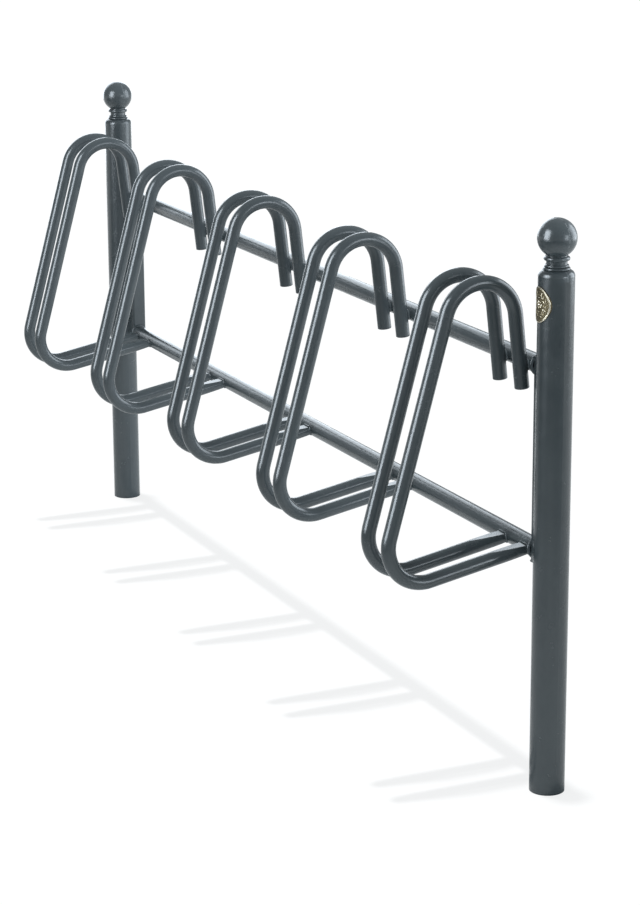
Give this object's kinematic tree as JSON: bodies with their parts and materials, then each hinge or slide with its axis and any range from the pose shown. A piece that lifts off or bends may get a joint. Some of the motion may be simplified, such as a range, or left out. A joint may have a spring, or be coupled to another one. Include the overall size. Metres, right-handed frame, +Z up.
{
  "type": "floor bike rack",
  "caption": "Welded steel bicycle rack: two posts with ball finials carry two rails and a row of upright double hoops, each holding a wheel between its tubes.",
  "frame": {"origin": "on the floor, under the middle of the whole rack's box", "axes": "+X along the rails towards the post with the badge, -Y to the front where the hoops stand out, +Z up"},
  "size_m": [2.065, 0.3012, 0.976],
  "materials": {
    "painted_steel": "dark grey-blue semi-gloss paint on steel tube",
    "painted_casting": "the same paint on a casting, with its slight unevenness",
    "painted_weld": "the same paint over rippled weld beads",
    "plug_plastic": "dark grey moulded plastic",
    "badge_brass": "aged brass, darker in its hollows"
  },
  "bodies": {
    "root": {"post_left": "painted_steel", "post_right": "painted_steel", "upright_left": "painted_steel", "upright_right": "painted_steel", "upright_end_plates": "painted_steel", "rail_top": "painted_steel", "rail_bottom": "painted_steel", "hoop_1_left": "painted_steel", "hoop_1_right": "painted_steel", "hoop_2_left": "painted_steel", "hoop_2_right": "painted_steel", "hoop_3_left": "painted_steel", "hoop_3_right": "painted_steel", "hoop_4_left": "painted_steel", "hoop_4_right": "painted_steel", "hoop_5_left": "painted_steel", "hoop_5_right": "painted_steel", "finial_left": "painted_casting", "finial_right": "painted_casting", "badge": "badge_brass", "hoop_plugs": "plug_plastic", "tail_welds": "painted_weld", "foot_welds": "painted_weld", "rail_end_welds": "painted_weld", "stitch_welds": "painted_weld"}
  },
  "joints": []
}
